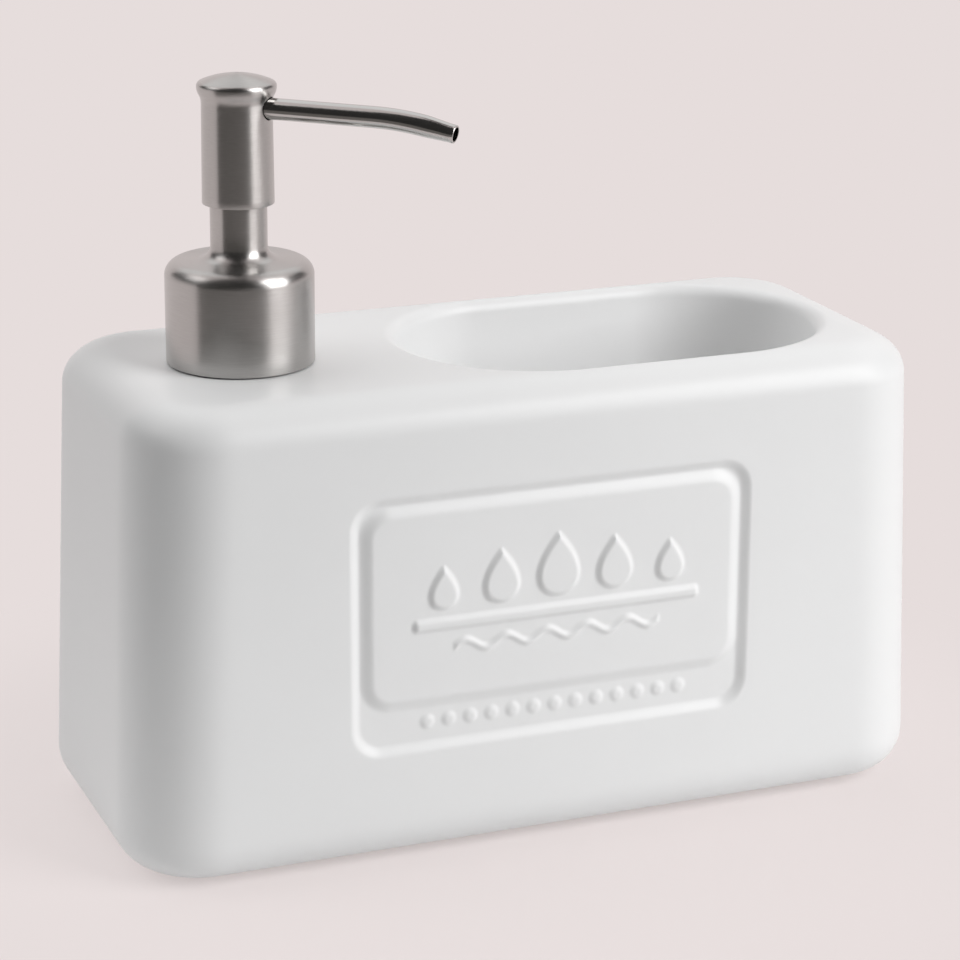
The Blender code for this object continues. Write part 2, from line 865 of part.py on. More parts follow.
# Piston seal with two lips, and the rod below it
seal_radius = cylinder_bore - fit_gap
seal_bore = stem_radius + fit_gap
piston_seal = turned(
    "piston_seal",
    [
        (seal_radius, seal_top),
        (seal_radius, seal_top - seal_lip_height),
        (seal_radius - seal_waist, seal_top - seal_lip_height),
        (seal_radius - seal_waist, seal_foot + seal_lip_height),
        (seal_radius, seal_foot + seal_lip_height),
        (seal_radius, seal_foot),
        (seal_bore, seal_foot),
        (seal_bore, seal_top),
    ],
    clear_plastic, pump_place, fine_steps,
)

piston_rod = cylinder(
    "piston_rod", rod_flange_radius, rod_flange_base, rod_flange_top, white_plastic, pump_place,
)
fin_half = math.sqrt((stem_bore - fit_gap) ** 2 - (rod_fin_thickness / 2) ** 2)
for number, (half_x, half_y) in enumerate(
    ((fin_half, rod_fin_thickness / 2), (rod_fin_thickness / 2, fin_half))
):
    fin = box(
        f"rod_fin_{number + 1}",
        (-half_x, -half_y, rod_flange_base + rod_flange_thickness / 2),
        (half_x, half_y, rod_flange_top + rod_pin_length),
        None, pump_place, cutters,
    )
    boolean(piston_rod, fin, "UNION")

pump_stem = turned(
    "pump_stem",
    tube_profile(stem_radius, stem_bore, stem_foot, stem_top),
    white_plastic, pump_place, fine_steps,
)

# Actuator core inside the head, with the stem socket and the way to the nozzle
core_radius = head_foot_radius - steel_wall - fit_gap
core_top = head_top - head_dome - steel_wall - core_top_clearance
core_boss_radius = stem_radius + fit_gap + core_boss_wall
actuator_core = turned(
    "actuator_core",
    [
        (0, core_top),
        (head_rim_radius - head_rim_round, core_top),
        (core_radius, head_rim_centre - fit_gap),
        (core_radius, core_foot),
        (core_boss_radius, core_foot),
        (core_boss_radius, core_boss_foot),
        (stem_radius + fit_gap, core_boss_foot),
        (stem_radius + fit_gap, stem_socket_top),
        (core_channel, stem_socket_top),
        (core_channel, nozzle_axis),
        (0, nozzle_axis),
    ],
    white_plastic, pump_place, fine_steps, False,
)


def nozzle_drill(name, start, end):
    """A level drill along the nozzle's heading, at the nozzle's height."""
    drill = cylinder(name, nozzle_bore, start, end, None, nozzle_place, fine_steps, cutters)
    drill.rotation_euler = (0, math.pi / 2, 0)
    return drill


core_drill = nozzle_drill("core_drill", -core_channel, core_radius + cut_overrun)
boolean(actuator_core, core_drill, "DIFFERENCE")

# Head shell: drawn cup with a flared rim and a low dome
crown_radius = head_rim_radius - head_rim_round
dome_steps = 2
dome_line = []
for index in range(dome_steps):
    share = index / dome_steps
    dome_line.append((crown_radius * share, head_top - head_dome * share ** 2))
flare_line = []
flare_steps = 3
for index in range(1, flare_steps + 1):
    share = index / flare_steps
    flare = (head_rim_radius - head_flare_radius) * (1 - share) ** 2
    flare_line.append((head_flare_radius + flare, head_rim_centre - head_flare_height * share))
head_shell = turned(
    "head_shell",
    dome_line
    + arc(crown_radius, head_rim_centre, head_rim_round, 90, 0)
    + flare_line
    + [(head_foot_radius, head_rim)],
    steel, pump_place, turn_steps, False,
)
thicken(head_shell, steel_wall)
shell_drill = nozzle_drill("shell_drill", head_foot_radius / 2, head_rim_radius + cut_overrun)
boolean(head_shell, shell_drill, "DIFFERENCE")


def nozzle_line(bend_steps=5):
    """Centre line of the nozzle: level, then bent down, then straight to the tip."""
    line = [(nozzle_root, 0, 0), ((nozzle_root + nozzle_bend_start) / 2, 0, 0)]
    for index in range(bend_steps + 1):
        angle = nozzle_bend * index / bend_steps
        reach = nozzle_bend_start + nozzle_bend_radius * math.sin(angle)
        line.append((reach, 0, -nozzle_bend_radius * (1 - math.cos(angle))))
    direction = Vector((math.cos(nozzle_bend), 0, -math.sin(nozzle_bend)))
    line.append(tuple(Vector(line[-1]) + direction * nozzle_tip))
    return line


nozzle_curve = nozzle_line()
nozzle_radii = [1.0] * (len(nozzle_curve) - 2) + [(3 + nozzle_tip_share) / 4, nozzle_tip_share]
nozzle_tube = curve_mesh(
    "nozzle_tube", nozzle_curve, nozzle_radius, nozzle_radii, 5, False, polished, nozzle_place,
)
thicken(nozzle_tube, nozzle_wall)
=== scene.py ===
"""White ceramic soap dispenser with a sponge well and a brushed steel lotion pump.

Sizes are in millimetres and become metres as each mesh is made. The origin is on the
counter below the middle of the body, +X runs from the pump to the well, -Y is the front.
"""

import math

import bmesh
import bpy
import numpy as np
from mathutils import Matrix, Vector
from mathutils.geometry import delaunay_2d_cdt


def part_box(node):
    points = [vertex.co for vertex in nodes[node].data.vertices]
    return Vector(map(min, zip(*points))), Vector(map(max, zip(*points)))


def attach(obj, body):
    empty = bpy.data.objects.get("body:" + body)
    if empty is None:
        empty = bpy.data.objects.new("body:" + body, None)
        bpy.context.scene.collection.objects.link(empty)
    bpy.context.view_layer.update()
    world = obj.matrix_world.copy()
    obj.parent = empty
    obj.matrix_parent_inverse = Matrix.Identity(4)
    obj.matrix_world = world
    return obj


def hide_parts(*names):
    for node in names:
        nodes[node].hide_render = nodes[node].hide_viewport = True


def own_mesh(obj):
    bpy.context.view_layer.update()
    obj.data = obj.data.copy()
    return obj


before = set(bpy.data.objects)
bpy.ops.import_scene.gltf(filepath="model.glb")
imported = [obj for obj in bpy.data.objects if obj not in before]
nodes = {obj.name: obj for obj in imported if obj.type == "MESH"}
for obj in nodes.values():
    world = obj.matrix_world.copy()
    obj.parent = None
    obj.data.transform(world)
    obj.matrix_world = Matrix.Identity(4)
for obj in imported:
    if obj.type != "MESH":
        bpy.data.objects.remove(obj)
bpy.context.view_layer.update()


# Camera. The dispenser was photographed with a long lens, from a little above and from its
# left. The view was fitted to the edges of the ceramic by least squares.
mm = 0.001
camera_azimuth = math.radians(22.21)
camera_elevation = math.radians(17.73)
camera_roll = math.radians(0.52)
camera_distance = 696.1
camera_aim = Vector((-1.6, 0.0, 73.4))
camera_lens, camera_sensor = 112.3, 36.0
camera_near = 10.0

forward = Vector((
    math.sin(camera_azimuth) * math.cos(camera_elevation),
    math.cos(camera_azimuth) * math.cos(camera_elevation),
    -math.sin(camera_elevation),
))
level = Vector((math.cos(camera_azimuth), -math.sin(camera_azimuth), 0.0))
upward = level.cross(forward)
camera_right = level * math.cos(camera_roll) + upward * math.sin(camera_roll)
camera_up = upward * math.cos(camera_roll) - level * math.sin(camera_roll)
camera = bpy.data.objects.new("camera", bpy.data.cameras.new("camera"))
bpy.context.scene.collection.objects.link(camera)
camera.matrix_world = Matrix.Translation((camera_aim - forward * camera_distance) * mm) @ Matrix((
    camera_right, camera_up, -forward,
)).transposed().to_4x4()
camera.data.sensor_width = camera_sensor
camera.data.lens = camera_lens
camera.data.clip_start = camera_near * mm
bpy.context.scene.camera = camera
bpy.context.scene.view_settings.view_transform = "Standard"


# Counter and studio, in metres. The dispenser stands on a sheet of pale paper that shows as
# one even colour with a faint shadow. Light comes from a broad window at the back left, a
# large soft box at the front right and a small one at the left.
paper_colour = "#E6DDDC"
paper_lit = "#FFF6F5"
paper_white, table_grey = "#F2F2F2", "#8A8A8A"
paper_white_near, paper_white_far = 0.15, 0.45
paper_size = 6.0
paper_drop = 0.00005
paper_shadow_share = 0.40
paper_shadow_near, paper_shadow_reach = 0.06, 0.17
room_white = "#FFFFFF"
room_light, window_light = 0.01, 1.30
window_azimuth, window_elevation = math.radians(118), math.radians(36)
window_spread = 1.9


def colour(text):
    """Linear red, green, blue and alpha of an sRGB hex colour."""
    parts = [int(text[index:index + 2], 16) / 255 for index in (1, 3, 5)]
    return (*[part / 12.92 if part <= 0.04045 else ((part + 0.055) / 1.055) ** 2.4 for part in parts], 1.0)


def direction(azimuth, elevation):
    """The unit vector towards an azimuth, counted from +X, and an elevation, in radians."""
    level_part = math.cos(elevation)
    return math.cos(azimuth) * level_part, math.sin(azimuth) * level_part, math.sin(elevation)


def add(tree, kind, settings=None, links=None):
    """Add a node, set its properties and sockets, and link other nodes' outputs to it."""
    node = tree.nodes.new(kind)
    for name, value in (settings or {}).items():
        if isinstance(name, str) and hasattr(node, name):
            setattr(node, name, value)
        else:
            node.inputs[name].default_value = value
    for name, source in (links or {}).items():
        tree.links.new(source, node.inputs[name])
    return node


def start_material(name):
    """A new material with nothing in its tree."""
    made = bpy.data.materials.new(name)
    made.use_nodes = True
    made.node_tree.nodes.clear()
    return made, made.node_tree


def coat(piece, material):
    """Give a piece one material all over."""
    piece.data.materials.clear()
    piece.data.materials.append(material)


def seen_ray(tree):
    """1 for rays from the camera, from gloss and through clear stuff, 0 for light that is spread."""
    path = add(tree, "ShaderNodeLightPath")
    gloss = add(tree, "ShaderNodeMath", {"operation": "MAXIMUM"}, {
        0: path.outputs["Is Camera Ray"], 1: path.outputs["Is Glossy Ray"],
    })
    return add(tree, "ShaderNodeMath", {"operation": "MAXIMUM"}, {
        0: gloss.outputs[0], 1: path.outputs["Is Transmission Ray"],
    })


paper, tree = start_material("seamless_paper")
seen = seen_ray(tree)
place = add(tree, "ShaderNodeNewGeometry")
far = add(tree, "ShaderNodeVectorMath", {"operation": "LENGTH"}, {0: place.outputs["Position"]})
shade_share = add(tree, "ShaderNodeMapRange", {
    "interpolation_type": "SMOOTHSTEP", "From Min": paper_shadow_near, "From Max": paper_shadow_reach,
    "To Min": paper_shadow_share, "To Max": 0.0,
}, {"Value": far.outputs["Value"]})
shaded = add(tree, "ShaderNodeBsdfDiffuse", {"Color": colour(paper_lit)})
even = add(tree, "ShaderNodeEmission", {"Color": colour(paper_colour)})
sheet_end = add(tree, "ShaderNodeMapRange", {"From Min": paper_white_near, "From Max": paper_white_far}, {
    "Value": far.outputs["Value"],
})
sheet_tone = add(tree, "ShaderNodeMix", {
    "data_type": "RGBA", 6: colour(paper_white), 7: colour(table_grey),
}, {0: sheet_end.outputs["Result"]})
bounce = add(tree, "ShaderNodeBsdfDiffuse", None, {"Color": sheet_tone.outputs[2]})
shown = add(tree, "ShaderNodeMixShader", None, {
    0: shade_share.outputs["Result"], 1: even.outputs[0], 2: shaded.outputs[0],
})
both = add(tree, "ShaderNodeMixShader", None, {0: seen.outputs[0], 1: bounce.outputs[0], 2: shown.outputs[0]})
add(tree, "ShaderNodeOutputMaterial", None, {"Surface": both.outputs[0]})

bm = bmesh.new()
bmesh.ops.create_grid(bm, x_segments=1, y_segments=1, size=paper_size / 2)
sheet = bpy.data.meshes.new("paper_floor")
bm.to_mesh(sheet)
bm.free()
floor = bpy.data.objects.new("paper_floor", sheet)
floor.location = (0, 0, -paper_drop)
coat(floor, paper)
bpy.context.scene.collection.objects.link(floor)

world = bpy.data.worlds.new("studio")
world.use_nodes = True
tree = world.node_tree
tree.nodes.clear()
seen = seen_ray(tree)
backdrop = add(tree, "ShaderNodeBackground", {"Color": colour(paper_colour), "Strength": 1.0})
sky = add(tree, "ShaderNodeTexCoord")
facing = add(tree, "ShaderNodeVectorMath", {
    "operation": "DOT_PRODUCT", 1: direction(window_azimuth, window_elevation),
}, {0: sky.outputs["Generated"]})
toward = add(tree, "ShaderNodeMath", {"operation": "MAXIMUM", 1: 0.0}, {0: facing.outputs["Value"]})
glow = add(tree, "ShaderNodeMath", {"operation": "POWER", 1: window_spread}, {0: toward.outputs[0]})
level_light = add(tree, "ShaderNodeMath", {"operation": "MULTIPLY_ADD", 1: window_light, 2: room_light}, {
    0: glow.outputs[0],
})
ambient = add(tree, "ShaderNodeBackground", {"Color": colour(room_white)}, {
    "Strength": level_light.outputs[0],
})
air = add(tree, "ShaderNodeMixShader", None, {
    0: seen.outputs[0], 1: ambient.outputs[0], 2: backdrop.outputs[0],
})
add(tree, "ShaderNodeOutputWorld", None, {"Surface": air.outputs[0]})
bpy.context.scene.world = world

# The dark room is seen in the steel and the glaze alone. Its walls are sheets that glow with an
# even colour and are not lit by the lamps, so they are painted reflections: a dark wall stands
# behind the camera and runs on overhead, lower ones stand at the sides, a glowing white screen
# hangs at the back and a dark table lies in front. Each wall is two azimuths and two elevations in degrees.
room_radius = 1.5
front_wall = (-175, -68, 0, 100)
left_wall = (122, 185, 13, 42)
right_wall = (-68, 22, 13, 42)
back_screen = (20, 125, 36, 74)
wall_columns, wall_lines = 25, 13
table_near, table_lift = 0.28, 0.001
room_colour, table_colour, screen_colour = "#343332", "#75716E", "#FFFFFF"


def glow_material(name, text):
    """A sheet that glows with one even colour, a painted reflection, in whatever mirrors it."""
    made, tree = start_material(name)
    glow = add(tree, "ShaderNodeEmission", {"Color": colour(text)})
    add(tree, "ShaderNodeOutputMaterial", None, {"Surface": glow.outputs[0]})
    return made


def wall_rows(azimuth_from, azimuth_to, elevation_from, elevation_to):
    """Rows of points on the room's sphere between two azimuths and two elevations in degrees."""
    turns = np.radians(np.linspace(azimuth_from, azimuth_to, wall_columns))
    rises = np.radians(np.linspace(elevation_from, elevation_to, wall_lines))
    return [[[room_radius * part for part in direction(turn, rise)] for turn in turns] for rise in rises]


def hang_cloth(name, rows, cloth):
    """A glowing sheet through rows of points, a painted reflection which only mirrors see."""
    bm = bmesh.new()
    lines = [[bm.verts.new(point) for point in row] for row in rows]
    for lower, upper in zip(lines, lines[1:]):
        for index in range(len(lower) - 1):
            bm.faces.new((lower[index], lower[index + 1], upper[index + 1], upper[index]))
    mesh = bpy.data.meshes.new(name)
    bm.to_mesh(mesh)
    bm.free()
    hung = bpy.data.objects.new(name, mesh)
    coat(hung, cloth)
    for way in ("camera", "shadow", "diffuse"):
        setattr(hung, f"visible_{way}", False)
    bpy.context.scene.collection.objects.link(hung)
    return hung


# Painted reflections: dark, white and grey sheets that glow with their own colour instead of being lit
room_glow = glow_material("dark_room_glow", room_colour)
dark_front = hang_cloth("dark_front", wall_rows(*front_wall), room_glow)
dark_left = hang_cloth("dark_left", wall_rows(*left_wall), room_glow)
dark_right = hang_cloth("dark_right", wall_rows(*right_wall), room_glow)
screen_glow = glow_material("screen_glow", screen_colour)
white_screen = hang_cloth("white_screen", wall_rows(*back_screen), screen_glow)
table_turns = np.radians(np.linspace(front_wall[0], front_wall[1], wall_columns))
table_rows = [
    [(reach * math.cos(turn), reach * math.sin(turn), table_lift) for turn in table_turns]
    for reach in (table_near, room_radius)
]
dark_table = hang_cloth("dark_table", table_rows, glow_material("dark_table_glow", table_colour))

box_aim = Vector((0.0, 0.0, 0.07))


def soft_box(name, azimuth, elevation, distance, width, height, power):
    """A rectangular lamp that faces the dispenser from one side."""
    lamp = bpy.data.lights.new(name, "AREA")
    lamp.shape = "RECTANGLE"
    lamp.size = width
    lamp.size_y = height
    lamp.energy = power
    box = bpy.data.objects.new(name, lamp)
    side = Vector(direction(math.radians(azimuth), math.radians(elevation)))
    box.location = box_aim + side * distance
    box.rotation_euler = side.to_track_quat("Z", "Y").to_euler()
    bpy.context.scene.collection.objects.link(box)


soft_box("key_box", azimuth=-48, elevation=31, distance=1.0, width=0.56, height=0.80, power=8.3)
soft_box("side_box", azimuth=164, elevation=43, distance=1.0, width=0.45, height=0.45, power=0.6)


# Ceramic body. Slip cast in one piece with the reservoir, the sponge well and the moulded
# label, then dipped in a white satin glaze and fired standing on its bare foot ring.
body_lift = 0.8
body_half = (97.75, 43.3)
body_draft = (4.3, 1.5)
body_taper = [draft / half for draft, half in zip(body_draft, body_half)]
body_height = 107.0
body_corner = 19.8
top_half = [half * (1 - taper) for half, taper in zip(body_half, body_taper)]
foot_edge = 10.5
foot_ring_inset, foot_ring_corner = 18.5, 5.6
foot_recess = 3.0
shoulder_across, shoulder_down = 10.8, 8.6
shoulder_end = math.radians(66)

well_middle, well_straight, well_radius = 30.1, 20.2, 30.4
well_draft, well_lip, well_fillet, well_floor = 2.0, 3.0, 8.0, 12.0

label_left, label_right = -49.0, 47.6
label_low, label_high = 25.4, 85.6
label_corner, label_depth, label_slope = 7.5, 1.4, 2.8
panel_left, panel_right = -43.2, 41.9
panel_low, panel_high = 38.9, 80.0
panel_corner, panel_slope = 4.2, 3.6


def stretch(stops, steps):
    """Values from stop to stop, each stretch cut into its own number of steps."""
    spans = zip(stops, stops[1:], steps)
    runs = [np.linspace(first, last, count, endpoint=False) for first, last, count in spans]
    return np.concatenate(runs + [[stops[-1]]])


def full_turn(count):
    """Equal angles once round."""
    return np.linspace(0, math.tau, count + 1)[:-1]


def ramp(value):
    """0 up to 0, 1 from 1, and a smooth climb between."""
    value = np.clip(value, 0.0, 1.0)
    return value * value * (3.0 - 2.0 * value)


def past_rectangle(x, y, half_x, half_y, corner):
    """Distance outside a rectangle with round corners, negative inside."""
    over_x = np.abs(x) - half_x + corner
    over_y = np.abs(y) - half_y + corner
    outside = np.hypot(np.maximum(over_x, 0), np.maximum(over_y, 0))
    return outside + np.minimum(np.maximum(over_x, over_y), 0) - corner


def past_frame(x, z, left, right, low, high, corner):
    """Distance outside an upright rectangle with round corners, negative inside."""
    return past_rectangle(
        x - (left + right) / 2, z - (low + high) / 2, (right - left) / 2, (high - low) / 2, corner,
    )


def past_well(x, y):
    """Distance outside the well's edge, negative inside."""
    return np.hypot(np.maximum(np.abs(x - well_middle) - well_straight, 0), y) - well_radius


def past_outline(x, z, outline):
    """Distance outside a closed outline of points, negative inside."""
    nearest = np.full(x.shape, np.inf)
    crossings = np.zeros(x.shape, bool)
    for (from_x, from_z), (to_x, to_z) in zip(outline, np.roll(outline, -1, axis=0)):
        run_x, run_z = to_x - from_x, to_z - from_z
        share = np.clip(((x - from_x) * run_x + (z - from_z) * run_z) / (run_x ** 2 + run_z ** 2), 0, 1)
        nearest = np.minimum(nearest, np.hypot(x - from_x - share * run_x, z - from_z - share * run_z))
        if from_z != to_z:
            crossings ^= ((from_z > z) != (to_z > z)) & (x < from_x + run_x * (z - from_z) / run_z)
    return np.where(crossings, -nearest, nearest)


rule_low, rule_high, rule_half, rule_corner = 54.1, 56.4, 34.1, 0.8
drop_low, drop_height, drop_width, drop_pitch = 58.8, 14.0, 9.6, 13.6
drop_sizes = (0.66, 0.84, 1.0, 0.84, 0.66)
drop_swell, drop_sides = 1.3, 48
wave_middle, wave_swing, wave_length, wave_width = 49.7, 1.1, 49.0, 1.3
wave_count, wave_steps = 5, 30
bead_height, bead_radius, bead_pitch, bead_count = 32.3, 1.35, 5.1, 13
motif_slope = 1.5
rule_rise, drop_rise, wave_rise, bead_rise = 0.9, 0.95, 0.6, 0.45


def drop_points(middle, size):
    """Outline of a water drop, round below and drawn to a point above."""
    turn = full_turn(drop_sides)
    swell = drop_swell * np.sin(turn) * np.sin(turn / 2)
    return np.column_stack((
        middle - drop_width * size / 2 * swell,
        drop_low + drop_height * size * (1 + np.cos(turn)) / 2,
    ))


def wave_points():
    """Outline of a ribbon that follows a sine line."""
    share = np.linspace(0, 1, wave_steps * wave_count + 1)
    across = wave_length * (share - 0.5)
    line = wave_middle + wave_swing * np.sin(math.tau * wave_count * share)
    lower = np.column_stack((across, line - wave_width / 2))
    upper = np.column_stack((across, line + wave_width / 2))
    return np.vstack((lower, upper[::-1]))


def label_relief(x, z):
    """How far the moulded label stands out of the front at each place, in millimetres."""
    inside_label = -past_frame(x, z, label_left, label_right, label_low, label_high, label_corner)
    off_panel = past_frame(x, z, panel_left, panel_right, panel_low, panel_high, panel_corner)
    height = -label_depth * ramp(inside_label / label_slope) * ramp(off_panel / panel_slope)
    raised = [(rule_rise, past_frame(x, z, -rule_half, rule_half, rule_low, rule_high, rule_corner))]
    for index, size in enumerate(drop_sizes):
        drop_middle = (index - (len(drop_sizes) - 1) / 2) * drop_pitch
        raised.append((drop_rise, past_outline(x, z, drop_points(drop_middle, size))))
    raised.append((wave_rise, past_outline(x, z, wave_points())))
    bead_step = np.clip(np.round(x / bead_pitch), -(bead_count // 2), bead_count // 2)
    raised.append((bead_rise, np.hypot(x - bead_step * bead_pitch, z - bead_height) - bead_radius))
    for rise, outside in raised:
        height = height + rise * ramp(0.5 - outside / motif_slope)
    return height


def shoulder_drop(x, y):
    """How far the rounded outer edge lies below the flat top."""
    inset = np.clip(-past_rectangle(x, y, *top_half, body_corner), 0, shoulder_across)
    return shoulder_down * (1 - np.sqrt(1 - (1 - inset / shoulder_across) ** 2))


def lip_drop(x, y):
    """How far the well's rounded lip lies below the flat top."""
    off = np.clip(past_well(x, y), 0, well_lip)
    return well_lip * (1 - np.sqrt(1 - (1 - off / well_lip) ** 2))


# The outside is a grid of columns and level rows, close together where the label is. Each
# column has its shares of the straight half sides in x and y, and its way out from the
# middle of its round corner.
front_shares, front_steps = (-1, -0.66, 0.66, 1), (12, 300, 12)
back_steps, side_steps, corner_steps = 44, 14, 16
label_rows_low, label_rows_high = 24.5, 86.0
row_steps = (6, 190, 6)
foot_edge_steps, shoulder_steps = 12, 14
well_sides, lip_steps, wall_steps, fillet_steps = 120, 10, 8, 10

front_columns = stretch(front_shares, front_steps)
back_columns = stretch((1, -1), (back_steps,))
side_columns = stretch((-1, 1), (side_steps,))
corner_turn = np.linspace(0, math.pi / 2, corner_steps + 1)[1:-1]
columns = [(x_share, -1, 0, -1) for x_share in front_columns]
columns += [(1, -1, math.sin(turn), -math.cos(turn)) for turn in corner_turn]
columns += [(1, y_share, 1, 0) for y_share in side_columns]
columns += [(1, 1, math.cos(turn), math.sin(turn)) for turn in corner_turn]
columns += [(x_share, 1, 0, 1) for x_share in back_columns]
columns += [(-1, 1, -math.sin(turn), math.cos(turn)) for turn in corner_turn]
columns += [(-1, y_share, -1, 0) for y_share in -side_columns]
columns += [(-1, -1, -math.cos(turn), -math.sin(turn)) for turn in corner_turn]
columns = np.array(columns)
front = columns[:, 3] == -1


def body_ring(inset, height, corner=None):
    """One level ring of the body's outline, set in from its drafted side."""
    corner = body_corner - inset if corner is None else corner
    points = np.zeros((len(columns), 3))
    for axis in (0, 1):
        half = body_half[axis] * (1 - body_taper[axis] * height / body_height) - inset
        points[:, axis] = columns[:, axis] * (half - corner) + columns[:, axis + 2] * corner
    points[:, 2] = height
    return points


def well_ring(off, height):
    """One level ring of the well, set off outwards from its edge."""
    turn = full_turn(well_sides) + math.pi / well_sides
    side = np.where(np.cos(turn) > 0, well_straight, -well_straight)
    radius = well_radius + off
    across = well_middle + side + radius * np.cos(turn)
    return np.column_stack((across, radius * np.sin(turn), turn * 0 + height))


rings = [body_ring(foot_ring_inset, height, foot_ring_corner) for height in (foot_recess, 0.0)]
for turn in np.linspace(math.pi / 2, 0, foot_edge_steps + 1):
    inset = foot_edge * (1 - math.cos(turn))
    rings.append(body_ring(inset, foot_edge * (1 - math.sin(turn))))
row_stops = (foot_edge, label_rows_low, label_rows_high, body_height - shoulder_down)
for height in stretch(row_stops, row_steps)[1:]:
    ring = body_ring(0.0, height)
    ring[front, 1] -= label_relief(ring[front, 0], ring[front, 2])
    rings.append(ring)
for turn in np.linspace(0, shoulder_end, shoulder_steps + 1)[1:]:
    inset = shoulder_across * (1 - math.cos(turn))
    rings.append(body_ring(inset, body_height - shoulder_down * (1 - math.sin(turn))))

well_rings = []
for turn in np.linspace(math.pi / 2, 0, lip_steps + 1):
    ring = well_ring(well_lip * (1 - math.cos(turn)), body_height)
    ring[:, 2] -= well_lip * (1 - math.sin(turn)) + shoulder_drop(ring[:, 0], ring[:, 1])
    well_rings.append(ring)
wall_head = well_rings[-1]
wall_foot = well_ring(-well_draft, well_floor + well_fillet)
for share in np.linspace(0, 1, wall_steps + 1)[1:]:
    well_rings.append(wall_head + (wall_foot - wall_head) * share)
for turn in np.linspace(0, math.pi / 2, fillet_steps + 1)[1:]:
    off = -well_draft - well_fillet * (1 - math.cos(turn))
    well_rings.append(well_ring(off, well_floor + well_fillet - well_fillet * math.sin(turn)))


def band_faces(start, count, rows):
    """Quads between level rings of one count, stored one after another."""
    faces = []
    for row in range(rows - 1):
        base = start + row * count
        for column in range(count):
            after = (column + 1) % count
            faces.append((base + column, base + after, base + count + after, base + count + column))
    return faces


outer_count = len(columns)
outer_points = np.vstack(rings)
well_points = np.vstack(well_rings)
well_start = len(outer_points)
grid_start = well_start + len(well_points)
faces = band_faces(0, outer_count, len(rings))
faces += band_faces(well_start, well_sides, len(well_rings))
faces.append(tuple(range(outer_count)))
faces.append(tuple(range(grid_start - well_sides, grid_start)))

# The top between the shoulder and the well's lip is filled with triangles on a fine grid
top_pitch = 1.6
same_place = 1e-6
grid_x, grid_y = (axis.ravel() for axis in np.meshgrid(
    np.arange(-body_half[0], body_half[0], top_pitch), np.arange(-body_half[1], body_half[1], top_pitch),
))
last_inset = shoulder_across * (1 - math.cos(shoulder_end))
clear = past_rectangle(grid_x, grid_y, *top_half, body_corner) < -last_inset - top_pitch / 2
clear &= past_well(grid_x, grid_y) > well_lip + top_pitch / 2
grid = np.column_stack((grid_x[clear], grid_y[clear]))
flat_points = np.vstack((rings[-1][:, :2], well_rings[0][:, :2], grid))
edges = [(index, (index + 1) % outer_count) for index in range(outer_count)]
edges += [(outer_count + index, outer_count + (index + 1) % well_sides) for index in range(well_sides)]
found, _, triangles, origins, _, _ = delaunay_2d_cdt(
    [Vector(point) for point in flat_points], edges, [], 0, same_place,
)
lookup = np.concatenate((
    np.arange(outer_count) + well_start - outer_count,
    np.arange(well_sides) + well_start,
    np.arange(len(grid)) + grid_start,
))
for triangle in triangles:
    middle = np.mean([found[index] for index in triangle], axis=0)
    if past_well(middle[0], middle[1]) > well_lip:
        faces.append(tuple(int(lookup[origins[index][0]]) for index in triangle))
grid_height = body_height - shoulder_drop(grid[:, 0], grid[:, 1]) - lip_drop(grid[:, 0], grid[:, 1])
body_points = np.vstack((outer_points, well_points, np.column_stack((grid, grid_height))))

weld_distance = 0.002


def make_object(name, points, faces, place=(0.0, 0.0, 0.0), turn=0.0, sharp=50):
    """A smooth object from points in millimetres, with its faces turned outwards."""
    bm = bmesh.new()
    verts = [bm.verts.new(point) for point in np.asarray(points) * mm]
    for face in faces:
        bm.faces.new([verts[index] for index in face])
    bmesh.ops.remove_doubles(bm, verts=bm.verts, dist=weld_distance * mm)
    bmesh.ops.recalc_face_normals(bm, faces=bm.faces)
    mesh = bpy.data.meshes.new(name)
    bm.to_mesh(mesh)
    bm.free()
    mesh.shade_smooth()
    mesh.set_sharp_from_angle(angle=math.radians(sharp))
    made = bpy.data.objects.new(name, mesh)
    made.location = Vector(place) * mm
    made.rotation_euler = (0, 0, turn)
    bpy.context.scene.collection.objects.link(made)
    return made


ceramic_shell = make_object("ceramic_shell", body_points, faces, (0, 0, body_lift))

# The reservoir behind the front wall, and the hole that takes the pump's neck. The room of
# the reservoir stops at a wall round the well and at a flat end beside it.
pump_x = -59.2
deck = body_lift + body_height
reservoir_wall, reservoir_edge = 6.0, 4.5
reservoir_low, reservoir_high = 9.0, 100.0
reservoir_end = -6.8
partition = 6.5
room_edge_steps = 4
beyond_x, beyond_y = 120.0, 60.0
neck_hole, neck_hole_low, neck_hole_high = 14.0, -9.0, 2.0
neck_hole_sides = 64


def cut_from(target, name, points, faces, place):
    """Cut one closed shape out of another and keep the result as plain mesh."""
    tool = make_object(name, points, faces, place)
    step = target.modifiers.new(name, "BOOLEAN")
    step.operation = "DIFFERENCE"
    step.solver = "MANIFOLD"
    step.object = tool
    bpy.context.view_layer.update()
    cut = bpy.data.meshes.new_from_object(target.evaluated_get(bpy.context.evaluated_depsgraph_get()))
    target.modifiers.clear()
    target.data = cut
    bpy.data.objects.remove(tool, do_unlink=True)


def stack_faces(count, rows):
    """Faces of a closed body skinned over rings, with flat ends."""
    ends = [tuple(range(count)), tuple(range((rows - 1) * count, rows * count))]
    return band_faces(0, count, rows) + ends


def disc_ring(radius, height, count):
    """One level ring of a round piece on its own axis."""
    turn = full_turn(count)
    return np.column_stack((radius * np.cos(turn), radius * np.sin(turn), turn * 0 + height))


